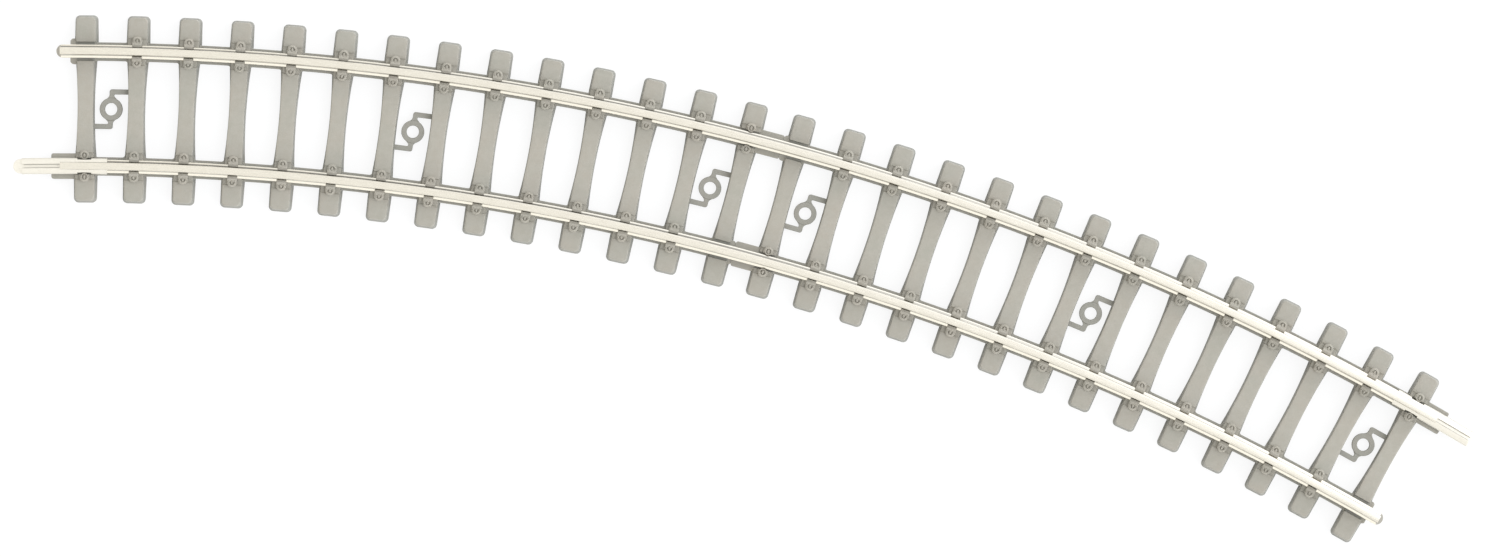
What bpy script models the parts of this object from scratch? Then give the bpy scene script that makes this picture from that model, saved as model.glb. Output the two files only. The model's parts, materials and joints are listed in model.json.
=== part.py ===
"""Curved section of 16.5 mm gauge model railway track, made of six separate pieces.

Two identical moulded sleeper strips of 15 degrees each, an outer and an inner rail that are
threaded through the chairs of both strips, and a folded sheet-metal joiner at one end of each
rail. Lengths are in metres. The base of the sleepers lies on z = 0, +Y points to the outside
of the curve, and +X runs along the chord from the left end to the right end.
"""

import math

import bmesh
import bpy
from mathutils import Matrix, Vector

MM = 0.001

# Layout of the curve
TRACK_RADIUS = 421.88 * MM  # centre-line of the track
STRIP_ANGLE = math.radians(15.0)  # each strip; the section turns twice this
RAIL_OFFSET = 9.0 * MM  # rail centre from the centre-line: 16.8 mm between the heads
SLEEPERS_PER_STRIP = 14
SLEEPER_PITCH = math.radians(1.075)
END_MARGIN = (STRIP_ANGLE - (SLEEPERS_PER_STRIP - 1) * SLEEPER_PITCH) / 2

# Sleeper, seen from above
SLEEPER_HALF_LENGTH = 14.7 * MM
WAIST_HALF_WIDTH = 1.35 * MM
INNER_HALF_WIDTH = 1.63 * MM  # just inside the rail
OUTER_HALF_WIDTH = 1.87 * MM  # just outside the rail
END_HALF_WIDTH = 1.79 * MM
CORNER_RADIUS = 0.6 * MM
TOP_CORNER_RADIUS = 0.5 * MM
DRAFT = 0.35 * MM  # the top is this much smaller all round

# Heights
SEAT_HEIGHT = 2.27 * MM  # where the rail's foot lies
WAIST_HEIGHT = 1.95 * MM
SHOULDER_HEIGHT = 2.4 * MM  # beside the seat
END_HEIGHT = 2.2 * MM
POCKET_HEIGHT = 2.03 * MM  # seat lowered for a joiner's floor
RAIL_BASE = 2.3 * MM
SEAT_INNER = RAIL_OFFSET - 2.0 * MM  # the seat's ends, along the sleeper
SEAT_OUTER = RAIL_OFFSET + 2.0 * MM
SEAT_STEP = 0.15 * MM

# Rail section
FOOT_HALF_WIDTH = 1.05 * MM
FOOT_EDGE = 0.3 * MM
FOOT_RISE = 0.55 * MM
WEB_HALF_WIDTH = 0.25 * MM
HEAD_HALF_WIDTH = 0.6 * MM
HEAD_UNDERSIDE = 1.65 * MM
HEAD_SIDE = 1.85 * MM
RAIL_HEIGHT = 2.5 * MM
HEAD_CHAMFER = 0.12 * MM
TONGUE_LENGTH = 0.7 * MM  # the foot stands past the head at a free end
RAIL_SEGMENTS = 28
TIP_STEPS = 8  # round ends of the foot and of the joiner

# Chairs that hold the rail's foot
CLEARANCE = 0.05 * MM
CHAIR_HALF_WIDTH = 0.78 * MM
CHAIR_REACH = 0.8 * MM  # tip of the hook, from the rail centre
CHAIR_ROUND_CENTRE = 1.67 * MM
CHAIR_PLATE_TOP = 2.78 * MM
CHAIR_HOOK_TOP = 3.0 * MM
CHAIR_HOOK_LENGTH = 0.75 * MM
HOOK_HALF_WIDTH = 0.76 * MM
CHAIR_ROOT = 1.9 * MM

# Webs below the rails
WEB_HALF_BREADTH = 1.45 * MM
WEB_BOTTOM = 0.4 * MM
WEB_TOP = 1.7 * MM
STUB_HALF_BREADTH = 1.9 * MM
STUB_TOP = 1.95 * MM
STUB_OVERHANG = 1.45 * MM  # past the joint plane
STUB_CHAMFER = 0.35 * MM
NOSE_SETBACK = 1.55 * MM  # the short stub ends this far inside the joint plane
NOSE_HALF_BREADTH = 1.25 * MM

# Screw eyelets between two sleepers
EYELET_GAPS = (0, 6, 12)  # gap after this sleeper, counted from the strip's left end
EYELET_RADIUS = 1.79 * MM
EYELET_HOLE_RADIUS = 0.98 * MM
EYELET_BOTTOM = 0.1 * MM
EYELET_TOP = 1.0 * MM
ARM_TOP = 0.9 * MM
ARM_NEAR = 2.32 * MM
ARM_FAR = 3.13 * MM
STEM_SIDE = 0.3 * MM
STEM_OTHER_SIDE = 0.4 * MM
ARM_LENGTH = 3.15 * MM
EYELET_SIDES = 16

# Rail joiner, folded from sheet around the rail's foot
SHEET = 0.2 * MM
BEND = 0.12 * MM  # outer corners of the folds
JOINER_HALF_WIDTH = 1.28 * MM
JOINER_GAP = 0.03 * MM  # between the sheet and the foot
JOINER_FLOOR = -JOINER_GAP - SHEET  # underside, from the rail's base
JOINER_SLOT_HALF = 0.3 * MM  # between the two flanges
JOINER_OUT = 6.1 * MM  # flanges past the joint plane
JOINER_IN = 7.25 * MM  # flanges over the section's own rail
JOINER_TONGUE = 1.4 * MM
TONGUE_HALF_WIDTH = 1.15 * MM
JOINER_SEGMENTS = 8
JOINER_POCKET_HALF = 1.33 * MM
OPEN_POCKET_HALF = 1.5 * MM
NOTCH_HALF_LENGTH = 1.1 * MM
NOTCH_FLOOR_HALF = 1.0 * MM

BIG = 5.0 * MM  # cutters reach this far past the piece


# Points and meshes

def blend(start, end, share):
    return start + (end - start) * share


def polar(angle, offset, z):
    """Point at an angle right of the arc's middle and an offset outside the centre-line."""
    radius = TRACK_RADIUS + offset
    return Vector((radius * math.sin(angle), radius * math.cos(angle), z))


def add_object(name, mesh):
    obj = bpy.data.objects.new(name, mesh)
    bpy.context.scene.collection.objects.link(obj)
    return obj


def loft(name, rings):
    """Closed solid through rings of points; every ring has the same number of points."""
    bm = bmesh.new()
    loops = [[bm.verts.new(point) for point in ring] for ring in rings]
    for near, far in zip(loops, loops[1:]):
        for i in range(len(near)):
            bm.faces.new((near[i - 1], near[i], far[i], far[i - 1]))
    bm.faces.new(loops[0])
    bm.faces.new(loops[-1])
    bmesh.ops.recalc_face_normals(bm, faces=bm.faces)
    mesh = bpy.data.meshes.new(name)
    bm.to_mesh(mesh)
    bm.free()
    return add_object(name, mesh)


def prism(name, outline, low, high):
    """Upright solid over a plan outline of (x, y) points."""
    return loft(name, [[Vector((x, y, z)) for x, y in outline] for z in (low, high)])


def box(name, low, high):
    outline = [(low[0], low[1]), (high[0], low[1]), (high[0], high[1]), (low[0], high[1])]
    return prism(name, outline, low[2], high[2])


def polar_prism(name, outline, low, high):
    """Upright solid over a plan outline of (angle, offset) points."""
    points = [polar(angle, offset, 0.0) for angle, offset in outline]
    return prism(name, [(point.x, point.y) for point in points], low, high)


def arc_points(centre, radius, start, end, steps):
    """Points (x, y) along an arc of a circle, both ends included."""
    angles = [blend(start, end, i / steps) for i in range(steps + 1)]
    return [(centre[0] + radius * math.cos(a), centre[1] + radius * math.sin(a)) for a in angles]


def merge(name, pieces):
    """Pieces that stay apart, put into one mesh."""
    bm = bmesh.new()
    for piece in pieces:
        bm.from_mesh(piece.data)
        bpy.data.objects.remove(piece)
    mesh = bpy.data.meshes.new(name)
    bm.to_mesh(mesh)
    bm.free()
    return add_object(name, mesh)


def combine(obj, operation, tool):
    """Boolean of two solids, written back into the first one's mesh."""
    modifier = obj.modifiers.new(operation.lower(), "BOOLEAN")
    modifier.operation = operation
    modifier.object = tool
    depsgraph = bpy.context.evaluated_depsgraph_get()
    mesh = bpy.data.meshes.new_from_object(obj.evaluated_get(depsgraph))
    obj.modifiers.clear()
    obj.data = mesh
    bpy.data.objects.remove(tool)
    return obj


# Sleepers, in their own frame: x along the track, y outwards from the centre-line

def half_width(y):
    """Half the base width of a sleeper: a waist between the rails, straight ends outside."""
    y = abs(y)
    if y <= SEAT_INNER:
        return blend(WAIST_HALF_WIDTH, INNER_HALF_WIDTH, (y / SEAT_INNER) ** 2)
    if y <= SEAT_OUTER:
        return blend(INNER_HALF_WIDTH, OUTER_HALF_WIDTH, (y - SEAT_INNER) / (SEAT_OUTER - SEAT_INNER))
    share = (y - SEAT_OUTER) / (SLEEPER_HALF_LENGTH - SEAT_OUTER)
    return blend(OUTER_HALF_WIDTH, END_HALF_WIDTH, share)


def sleeper_ring(y, half, top_y, top_half, top_z):
    return [
        Vector((-half, y, 0.0)),
        Vector((half, y, 0.0)),
        Vector((top_half, top_y, top_z)),
        Vector((-top_half, top_y, top_z)),
    ]


def sleeper_end(side):
    """Rings round the two upright corners at one end, from the end face inwards."""
    rings = []
    top_end = SLEEPER_HALF_LENGTH - DRAFT
    for turn in (90, 45, 0):
        along, across = math.sin(math.radians(turn)), math.cos(math.radians(turn))
        y = SLEEPER_HALF_LENGTH - CORNER_RADIUS * (1 - along)
        half = END_HALF_WIDTH - CORNER_RADIUS * (1 - across)
        top_y = top_end - TOP_CORNER_RADIUS * (1 - along)
        top_half = END_HALF_WIDTH - DRAFT - TOP_CORNER_RADIUS * (1 - across)
        rings.append(sleeper_ring(side * y, half, side * top_y, top_half, END_HEIGHT))
    return rings


def sleeper_block():
    """The sleeper's beam, with a level seat under each rail and a lower waist."""
    half = [
        (SEAT_OUTER + SEAT_STEP, SHOULDER_HEIGHT),
        (SEAT_OUTER, SEAT_HEIGHT),
        (SEAT_INNER, SEAT_HEIGHT),
        (SEAT_INNER - SEAT_STEP, SHOULDER_HEIGHT),
        (SEAT_INNER / 2, WAIST_HEIGHT),
    ]
    stations = half + [(0.0, WAIST_HEIGHT)] + [(-y, z) for y, z in reversed(half)]
    rings = sleeper_end(1)
    for y, z in stations:
        rings.append(sleeper_ring(y, half_width(y), y, half_width(y) - DRAFT, z))
    rings += reversed(sleeper_end(-1))
    return loft("sleeper", rings)


def foot_top(offset):
    """Height of the sloping top of the rail's foot, at an offset from the rail's centre."""
    share = (offset - WEB_HALF_WIDTH) / (FOOT_HALF_WIDTH - WEB_HALF_WIDTH)
    return RAIL_BASE + blend(FOOT_RISE, FOOT_EDGE, share)


def chair(rail, side, hooked):
    """Half of the fastening of one rail: a plate with a round end, and a hook over the foot."""
    face = FOOT_HALF_WIDTH + CLEARANCE
    outline = [(CHAIR_HALF_WIDTH, face)]
    outline += arc_points((0.0, CHAIR_ROUND_CENTRE), CHAIR_HALF_WIDTH, 0.0, math.pi, 4)
    outline += [(-CHAIR_HALF_WIDTH, face)]
    placed = [(x, rail + side * y) for x, y in outline]
    plate = prism("chair", placed, CHAIR_ROOT, CHAIR_PLATE_TOP)
    if not hooked:
        return plate
    low, high = sorted(rail + side * y for y in (CHAIR_REACH, CHAIR_REACH + CHAIR_HOOK_LENGTH))
    bottom = foot_top(CHAIR_REACH) + CLEARANCE
    hook = box("hook", (-HOOK_HALF_WIDTH, low, bottom), (HOOK_HALF_WIDTH, high, CHAIR_HOOK_TOP))
    return combine(plate, "UNION", hook)


def pocket_cutter(rail, half):
    """Lowers the seat right across the sleeper, so that a joiner's floor can pass."""
    return box("pocket", (-BIG, rail - half, POCKET_HEIGHT), (BIG, rail + half, BIG))


def sleeper(seats):
    """One sleeper. seats gives, for the outer and the inner rail, plain, joiner or open."""
    block = sleeper_block()
    for rail, seat in zip((RAIL_OFFSET, -RAIL_OFFSET), seats):
        if seat != "plain":
            half = JOINER_POCKET_HALF if seat == "joiner" else OPEN_POCKET_HALF
            combine(block, "DIFFERENCE", pocket_cutter(rail, half))
        if seat == "open":
            continue
        for side in (-1, 1):
            combine(block, "UNION", chair(rail, side, seat == "plain"))
    return block


def copy_to(source, angle):
    """A copy of a piece, moved out to the centre-line and turned to its place."""
    mesh = source.data.copy()
    mesh.transform(Matrix.Rotation(-angle, 4, "Z") @ Matrix.Translation((0.0, TRACK_RADIUS, 0.0)))
    return add_object(source.name, mesh)


# Webs and eyelets between the sleepers

def web(rail, start, end):
    """Bar below a rail that ties the sleepers together."""
    rings = []
    low, high = rail - WEB_HALF_BREADTH, rail + WEB_HALF_BREADTH
    for i in range(SLEEPERS_PER_STRIP):
        angle = blend(start, end, i / (SLEEPERS_PER_STRIP - 1))
        corners = ((low, WEB_BOTTOM), (high, WEB_BOTTOM), (high, WEB_TOP), (low, WEB_TOP))
        rings.append([polar(angle, offset, z) for offset, z in corners])
    return loft("web", rings)


def stub(rail, sleeper_angle, plane, side):
    """Broad tongue that passes the joint plane and carries the joiner."""
    end = plane + side * STUB_OVERHANG / TRACK_RADIUS
    corner = plane + side * (STUB_OVERHANG - STUB_CHAMFER) / TRACK_RADIUS
    breadth = STUB_HALF_BREADTH
    nose = STUB_HALF_BREADTH - STUB_CHAMFER
    half = [(sleeper_angle, breadth), (corner, breadth), (end, nose)]
    outline = [(a, rail + b) for a, b in half] + [(a, rail - b) for a, b in reversed(half)]
    return polar_prism("stub", outline, WEB_BOTTOM, STUB_TOP)


def short_stub(rail, sleeper_angle, plane, side):
    """Flared nose that meets the broad tongue of the next strip."""
    tip = plane - side * NOSE_SETBACK / TRACK_RADIUS
    root = plane - side * (NOSE_SETBACK + STUB_CHAMFER) / TRACK_RADIUS
    half = [(sleeper_angle, STUB_HALF_BREADTH), (root, STUB_HALF_BREADTH), (tip, NOSE_HALF_BREADTH)]
    outline = [(a, rail + b) for a, b in half] + [(a, rail - b) for a, b in reversed(half)]
    return polar_prism("nose", outline, WEB_BOTTOM, STUB_TOP)


def circle(radius, sides):
    return arc_points((0.0, 0.0), radius, 0.0, 2 * math.pi, sides)[:-1]


def eyelet():
    """Ring for a track screw, held by an arm to the sleeper on either side."""
    ring = prism("eyelet", circle(EYELET_RADIUS, EYELET_SIDES), EYELET_BOTTOM, EYELET_TOP)
    for side in (-1, 1):
        outline = [
            (-STEM_SIDE, 0.0), (STEM_OTHER_SIDE, 0.0), (STEM_OTHER_SIDE, ARM_NEAR),
            (ARM_LENGTH, ARM_NEAR), (ARM_LENGTH, ARM_FAR), (-STEM_SIDE, ARM_FAR),
        ]
        arm = prism("arm", [(side * x, side * y) for x, y in outline], EYELET_BOTTOM, ARM_TOP)
        combine(ring, "UNION", arm)
    combine(ring, "DIFFERENCE", prism("hole", circle(EYELET_HOLE_RADIUS, EYELET_SIDES), -BIG, BIG))
    return ring


# The strip

def sleeper_row(angles):
    """All the sleepers of a strip; only the two at its ends have seats for a joiner."""
    plain = sleeper(("plain", "plain"))
    left = sleeper(("open", "joiner"))
    right = sleeper(("joiner", "open"))
    models = [left] + [plain] * (len(angles) - 2) + [right]
    row = merge("strip", [copy_to(model, angle) for model, angle in zip(models, angles)])
    for model in (plain, left, right):
        bpy.data.objects.remove(model)
    return row


def sleeper_strip_mesh():
    """One moulded strip, centred on angle 0."""
    middle = (SLEEPERS_PER_STRIP - 1) / 2
    angles = [(i - middle) * SLEEPER_PITCH for i in range(SLEEPERS_PER_STRIP)]
    plane = STRIP_ANGLE / 2
    strip = sleeper_row(angles)
    ties = [
        web(RAIL_OFFSET, angles[0], angles[-1]),
        web(-RAIL_OFFSET, angles[0], angles[-1]),
        stub(-RAIL_OFFSET, angles[0], -plane, -1),
        short_stub(RAIL_OFFSET, angles[0], -plane, -1),
        stub(RAIL_OFFSET, angles[-1], plane, 1),
        short_stub(-RAIL_OFFSET, angles[-1], plane, 1),
    ]
    for tie in ties:
        combine(strip, "UNION", tie)
    ring = eyelet()
    eyelets = [copy_to(ring, (angles[i] + angles[i + 1]) / 2) for i in EYELET_GAPS]
    bpy.data.objects.remove(ring)
    combine(strip, "UNION", merge("eyelets", eyelets))
    mesh = strip.data
    bpy.data.objects.remove(strip)
    return mesh


# Rails and joiners

def rail_profile():
    """Half of the rail's section as (offset, height) points, from the foot up."""
    return [
        (FOOT_HALF_WIDTH, 0.0),
        (FOOT_HALF_WIDTH, FOOT_EDGE),
        (WEB_HALF_WIDTH, FOOT_RISE),
        (WEB_HALF_WIDTH, HEAD_UNDERSIDE),
        (HEAD_HALF_WIDTH, HEAD_SIDE),
        (HEAD_HALF_WIDTH, RAIL_HEIGHT - HEAD_CHAMFER),
        (HEAD_HALF_WIDTH - HEAD_CHAMFER, RAIL_HEIGHT),
    ]


def swept(name, half_profile, rail, start, end, segments):
    """Solid with a mirrored section, swept along the curve of one rail, from the rail's base up."""
    section = half_profile + [(-offset, z) for offset, z in reversed(half_profile)]
    rings = []
    for i in range(segments + 1):
        angle = blend(start, end, i / segments)
        rings.append([polar(angle, rail + offset, RAIL_BASE + z) for offset, z in section])
    return loft(name, rings)


def past(plane, side, radius):
    """Function that turns (distance past a joint plane, offset) into (angle, offset)."""
    return lambda along, offset: (plane + side * along / radius, offset)


def rail(name, offset, free_side):
    """A rail whose foot stands past its head at the free end, as a rounded tongue."""
    radius = TRACK_RADIUS + offset
    plane = free_side * STRIP_ANGLE
    at = past(plane, free_side, radius)
    start, end = sorted((at(TONGUE_LENGTH, offset)[0], -plane))
    body = swept(name, rail_profile(), offset, start, end, RAIL_SEGMENTS)
    beyond = [at(0.0, offset + BIG), at(BIG, offset + BIG), at(BIG, offset - BIG), at(0.0, offset - BIG)]
    foot_edge = RAIL_BASE + FOOT_EDGE
    combine(body, "DIFFERENCE", polar_prism("beyond", beyond, foot_edge, foot_edge + BIG))
    centre = (TONGUE_LENGTH - FOOT_HALF_WIDTH, offset)
    outline = arc_points(centre, FOOT_HALF_WIDTH, -math.pi / 2, math.pi / 2, TIP_STEPS)
    outline += [(centre[0], offset + BIG), (BIG, offset + BIG)]
    outline += [(BIG, offset - BIG), (centre[0], offset - BIG)]
    corners = polar_prism("corners", [at(x, y) for x, y in outline], 0.0, foot_edge)
    return combine(body, "DIFFERENCE", corners)


def joiner_profile():
    """Half of the folded sheet's section: the outside from the floor up, then the inside back."""
    inner = FOOT_HALF_WIDTH + JOINER_GAP
    side_top = FOOT_EDGE + JOINER_GAP
    flange_tip = foot_top(JOINER_SLOT_HALF) - RAIL_BASE + JOINER_GAP
    return [
        (JOINER_HALF_WIDTH - BEND, JOINER_FLOOR),
        (JOINER_HALF_WIDTH, JOINER_FLOOR + BEND),
        (JOINER_HALF_WIDTH, side_top + SHEET - BEND),
        (JOINER_HALF_WIDTH - BEND, side_top + SHEET),
        (JOINER_SLOT_HALF, flange_tip + SHEET),
        (JOINER_SLOT_HALF, flange_tip),
        (inner, side_top),
        (inner, JOINER_FLOOR + SHEET),
    ]


def joiner(name, offset, side):
    """Joiner over the rail's end at side -1 (left) or 1 (right), notched for two chairs."""
    radius = TRACK_RADIUS + offset
    at = past(side * STRIP_ANGLE, side, radius)
    start, end = at(-JOINER_IN, offset)[0], at(JOINER_OUT, offset)[0]
    body = swept(name, joiner_profile(), offset, start, end, JOINER_SEGMENTS)
    sleeper_place = -END_MARGIN * radius
    near, far = sleeper_place - NOTCH_HALF_LENGTH, sleeper_place + NOTCH_HALF_LENGTH
    for edge in (-1, 1):
        floor_edge, outside = offset + edge * NOTCH_FLOOR_HALF, offset + edge * BIG
        notch = [at(near, floor_edge), at(far, floor_edge), at(far, outside), at(near, outside)]
        combine(body, "DIFFERENCE", polar_prism("notch", notch, 0.0, BIG))
    centre = (JOINER_OUT + JOINER_TONGUE - TONGUE_HALF_WIDTH, offset)
    outline = arc_points(centre, TONGUE_HALF_WIDTH, -math.pi / 2, math.pi / 2, TIP_STEPS)
    root = JOINER_OUT - SHEET
    outline += [(root, offset + TONGUE_HALF_WIDTH), (root, offset - TONGUE_HALF_WIDTH)]
    low = RAIL_BASE + JOINER_FLOOR
    tongue = polar_prism("tongue", [at(x, y) for x, y in outline], low, low + SHEET)
    return combine(body, "UNION", tongue)


# Materials and assembly

def material(name, colour, roughness, metallic):
    made = bpy.data.materials.new(name)
    made.use_nodes = True
    shader = made.node_tree.nodes["Principled BSDF"]
    shader.inputs["Base Color"].default_value = (*colour, 1.0)
    shader.inputs["Roughness"].default_value = roughness
    shader.inputs["Metallic"].default_value = metallic
    return made


def finish(obj, made):
    obj.data.materials.clear()
    obj.data.materials.append(made)
    obj.data.shade_smooth()
    obj.data.set_sharp_from_angle(angle=math.radians(20))


def middle_of(objects):
    """Middle of the pieces' bounding box in plan, with the arc's centre at the origin."""
    points = [obj.matrix_world @ v.co for obj in objects for v in obj.data.vertices]
    xs, ys = [p.x for p in points], [p.y for p in points]
    return Vector(((min(xs) + max(xs)) / 2, (min(ys) + max(ys)) / 2, 0.0))


def build():
    for obj in list(bpy.data.objects):
        bpy.data.objects.remove(obj)
    plastic = material("sleeper_plastic", (0.46, 0.45, 0.39), 0.6, 0.0)
    rail_metal = material("rail_metal", (0.80, 0.76, 0.66), 0.3, 1.0)
    joiner_metal = material("joiner_metal", (0.83, 0.79, 0.68), 0.35, 1.0)

    left = add_object("sleeper_strip_left", sleeper_strip_mesh())
    finish(left, plastic)
    right = add_object("sleeper_strip_right", left.data)
    left.rotation_euler.z = STRIP_ANGLE / 2
    right.rotation_euler.z = -STRIP_ANGLE / 2

    outer = rail("outer_rail", RAIL_OFFSET, -1)
    inner = rail("inner_rail", -RAIL_OFFSET, 1)
    joiner_left = joiner("rail_joiner_left", -RAIL_OFFSET, -1)
    joiner_right = joiner("rail_joiner_right", RAIL_OFFSET, 1)
    for obj in (outer, inner):
        finish(obj, rail_metal)
    for obj in (joiner_left, joiner_right):
        finish(obj, joiner_metal)

    pieces = [left, right, outer, inner, joiner_left, joiner_right]
    bpy.context.view_layer.update()
    arc_centre = bpy.data.objects.new("arc_centre", None)
    bpy.context.scene.collection.objects.link(arc_centre)
    arc_centre.location = -middle_of(pieces)
    for obj in pieces:
        obj.parent = arc_centre


build()
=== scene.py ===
"""Looks of the curved track section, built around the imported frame.

Each of the six CAD pieces is replaced by a finer mesh of the same size in the same place, and
rides on the same body. Meshes are built in millimetres, with the middle of the track's
centre-line at the origin, and then placed around the arc's centre, which is the axis of every
joint in the frame. "Outwards" and "outer" mean away from that centre.
"""

import json
import math

import bmesh
import bpy
import numpy as np
from mathutils import Matrix, Vector


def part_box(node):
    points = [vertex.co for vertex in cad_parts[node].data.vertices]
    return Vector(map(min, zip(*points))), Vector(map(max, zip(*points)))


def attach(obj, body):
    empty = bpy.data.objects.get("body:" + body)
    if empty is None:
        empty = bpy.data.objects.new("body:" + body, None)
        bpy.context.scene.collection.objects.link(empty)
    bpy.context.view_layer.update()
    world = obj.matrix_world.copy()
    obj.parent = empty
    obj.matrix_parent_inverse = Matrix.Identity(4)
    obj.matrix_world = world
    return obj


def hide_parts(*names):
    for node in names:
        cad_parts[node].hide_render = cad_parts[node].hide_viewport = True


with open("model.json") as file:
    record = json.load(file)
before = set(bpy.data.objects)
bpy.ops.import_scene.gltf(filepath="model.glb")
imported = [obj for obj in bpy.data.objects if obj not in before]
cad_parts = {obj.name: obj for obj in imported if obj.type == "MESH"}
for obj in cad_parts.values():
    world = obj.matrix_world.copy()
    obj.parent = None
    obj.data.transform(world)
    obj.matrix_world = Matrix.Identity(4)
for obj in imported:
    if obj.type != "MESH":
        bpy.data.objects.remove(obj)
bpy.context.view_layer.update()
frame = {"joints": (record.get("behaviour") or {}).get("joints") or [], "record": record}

MM = 0.001

# Places read from the frame, in millimetres
ARC_CENTRE = Vector(frame["joints"][0]["pos_m"]) / MM
ARC_CENTRE.z = 0.0
MOUNTS = {
    mount["name"]: Vector(mount["pos_m"]) / MM - ARC_CENTRE for mount in frame["record"]["mounts"]
}
OUTER_END = MOUNTS["rail_end_outer_right"]
INNER_END = MOUNTS["rail_end_inner_right"]
OUTER_RADIUS = math.hypot(OUTER_END.x, OUTER_END.y)
INNER_RADIUS = math.hypot(INNER_END.x, INNER_END.y)
TRACK_RADIUS = (OUTER_RADIUS + INNER_RADIUS) / 2
RAIL_OFFSET = (OUTER_RADIUS - INNER_RADIUS) / 2
STRIP_ANGLE = math.atan2(OUTER_END.x, OUTER_END.y)
RAIL_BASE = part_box("outer_rail")[0].z / MM
RAIL_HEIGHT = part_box("outer_rail")[1].z / MM - RAIL_BASE
HOOK_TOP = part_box("sleeper_strip_left")[1].z / MM

# Layout of a strip
SLEEPERS = 14
PITCH = math.radians(1.075)
END_MARGIN = (STRIP_ANGLE - (SLEEPERS - 1) * PITCH) / 2
EYELET_GAPS = (0, 6, 12)

# Sleeper
HALF_LENGTH = 14.7
END_HALF_WIDTH = 1.8
CORNER = 0.75
CORNER_SHRINK = 0.35
DRAFT = 0.35  # how far the top edge of a side stands in from its foot
EDGE_ROUND = 0.12
ROUND_STEPS = 4
ACROSS = 4  # points across the top between its rounded edges
SEAT_HEIGHT = 2.27
POCKET_HEIGHT = 2.03
OPEN_HALF = 1.5  # half length of the lowered seat without chairs
OPEN_SHOULDER = 2.38
SHOULDER_HALF = 2.2
JOINER_HALF = 1.33  # half length of the lowered seat below a joiner
STEP_HALF = 0.012  # half the run of a step in the sleeper's top
CORNER_STEPS = 7
STATIONS = 45
STRAIGHT_HALF = 13.6  # from the centre-line to the first ring of an end's corners

# Tables of a value against the distance from the centre-line
DRAFTS = ((0.0, 0.15), (4.5, 0.16), (6.6, DRAFT), (HALF_LENGTH, DRAFT))
WIDTHS = (
    (0.0, 1.35), (1.0, 1.355), (2.0, 1.375), (3.0, 1.405), (4.0, 1.445), (5.0, 1.50), (6.0, 1.565),
    (7.0, 1.65), (9.0, 1.76), (10.8, 1.87), (11.5, 1.85), (13.0, 1.82), (HALF_LENGTH, 1.80),
)
HEIGHTS = (
    (0.0, 1.95), (2.5, 1.96), (4.5, 2.08), (6.0, 2.28), (6.82, 2.38), (7.02, SEAT_HEIGHT),
    (10.98, SEAT_HEIGHT), (11.18, 2.38), (12.2, 2.34), (13.6, 2.24), (HALF_LENGTH, 2.2),
)
SEAT_EDGES = (6.82, 6.87, 6.92, 6.97, 7.02, 10.98, 11.03, 11.08, 11.13, 11.18)

# Rail section, half widths and heights above the rail's base
FOOT_HALF = 1.05
FOOT_EDGE = 0.3
FOOT_RISE = 0.55
WEB_HALF = 0.25
HEAD_HALF = 0.6
HEAD_UNDERSIDE = 1.65
HEAD_SIDE = 1.85
HEAD_CROWN = 0.02
CROWN_HALF = 0.25
TONGUE_LENGTH = 0.7
RAIL_STEPS = 120
TIP_STEPS = 20

# Chairs, measured outwards from the rail's middle and along the track
FACE = 1.1
JOINER_FACE = 1.28  # further back, clear of the joiner
CHAIR_HALF = 0.78
CHAIR_STEPS = 12
ROUND_CENTRE = 1.67
PLATE_TOP = 2.78
PLATE_ROUND = 0.07
CHAIR_ROOT = 1.85
WELL_HALF = (0.4, 0.43)
WELL_FLOOR = 2.68
CLIP_RADIUS = 0.51
CLIP_THICKNESS = 0.13
CLIP_TOP = 2.92
SCREW_HALF = (0.18, 0.36)
SCREW_ROOT = 2.2
SCREW_EDGE = 2.7
HOOK_HALF = 0.76
HOOK_REACH = 0.7
HOOK_BACK = 1.5
HOOK_SLOPE = 1.15
HOOK_ROOT = 2.5
HOOK_GAP = 0.13  # between the hook and the edge of the rail's foot

# Webs, stubs and eyelets
WEB_BREADTH = 1.45
WEB_LOW = 0.4
WEB_HIGH = 1.7
WEB_FILLET = 0.45
FILLET_STEPS = 6
STUB_BREADTH = 1.9
STUB_HIGH = 1.95
STUB_OVERHANG = 1.45
NOSE_SETBACK = 1.55
STUB_CORNER = 0.25
NOSE_BREADTH = 1.65
RING_RADIUS = 1.79
HOLE_RADIUS = 0.98
RING_SIDES = 48
RING_LOW = 0.1
RING_HIGH = 1.0
ARM_HIGH = 0.9
ARM = (  # (x, y, corner radius) of the arm towards one sleeper
    (-1.2, 1.2, 0.0), (1.2, 1.2, 0.0), (0.44, 2.0, 0.7), (0.44, 2.33, 0.2), (3.3, 2.33, 0.0),
    (3.3, 3.13, 0.0), (-0.28, 3.13, 0.4), (-0.28, 2.0, 0.7),
)

# Joiner
SHEET = 0.2
JOINER_GAP = 0.03
JOINER_WIDTH = 1.28
SLOT_HALF = 0.3
JOINER_OUT = 6.1
JOINER_IN = 7.25
JOINER_TONGUE = 1.4
TONGUE_HALF = 1.15
NOTCH_HALF = 1.1
NOTCH_FLOOR = 1.0
JOINER_STEPS = 40

FAR = 6.0  # past everything that a cutting solid has to reach
SEW_DISTANCE = 0.004


# Tables and plan outlines


def straight(table, place, ease=False):
    """Value at a distance either way from 0, off rows (distance, value) with straight joins."""
    distance = abs(place)
    for (x0, y0), (x1, y1) in zip(table, table[1:]):
        if distance <= x1:
            share = (distance - x0) / (x1 - x0)
            if ease:
                share = share * share * (3 - 2 * share)
            return y0 + (y1 - y0) * share
    return table[-1][1]


def eased(table, place):
    """The same, with a level run at each row."""
    return straight(table, place, ease=True)


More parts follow.
